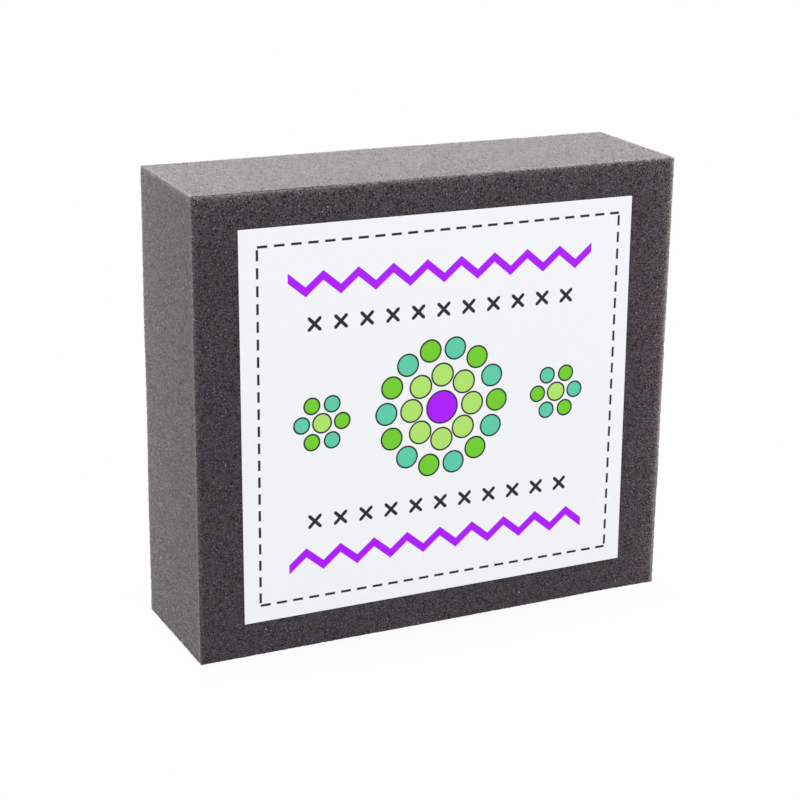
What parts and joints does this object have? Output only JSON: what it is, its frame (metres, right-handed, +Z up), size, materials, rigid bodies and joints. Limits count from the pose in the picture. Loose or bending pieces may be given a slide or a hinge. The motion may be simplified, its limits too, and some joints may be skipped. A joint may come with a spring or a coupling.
{
  "type": "needle felting mat",
  "caption": "Flat-cut block of charcoal open-cell foam with a white paper label glued to its front, used as the soft work surface under wool in needle felting.",
  "frame": {"origin": "middle of the narrow side that the mat stands on, below the middle of the block", "axes": "+X along the mat's width, to the right when the label faces the viewer; +Y from the labelled front to the plain back; +Z up"},
  "size_m": [0.1016, 0.0295, 0.0916],
  "materials": {
    "charcoal_foam": "matt open-cell polyurethane foam, flat cut, with fine pores and lighter cell struts",
    "label_glue": "thin cloudy film of pressure-sensitive glue",
    "label_paper": null
  },
  "bodies": {
    "root": {"foam_block": "charcoal_foam", "label_adhesive": "label_glue", "label_paper": "label_paper"}
  },
  "joints": []
}
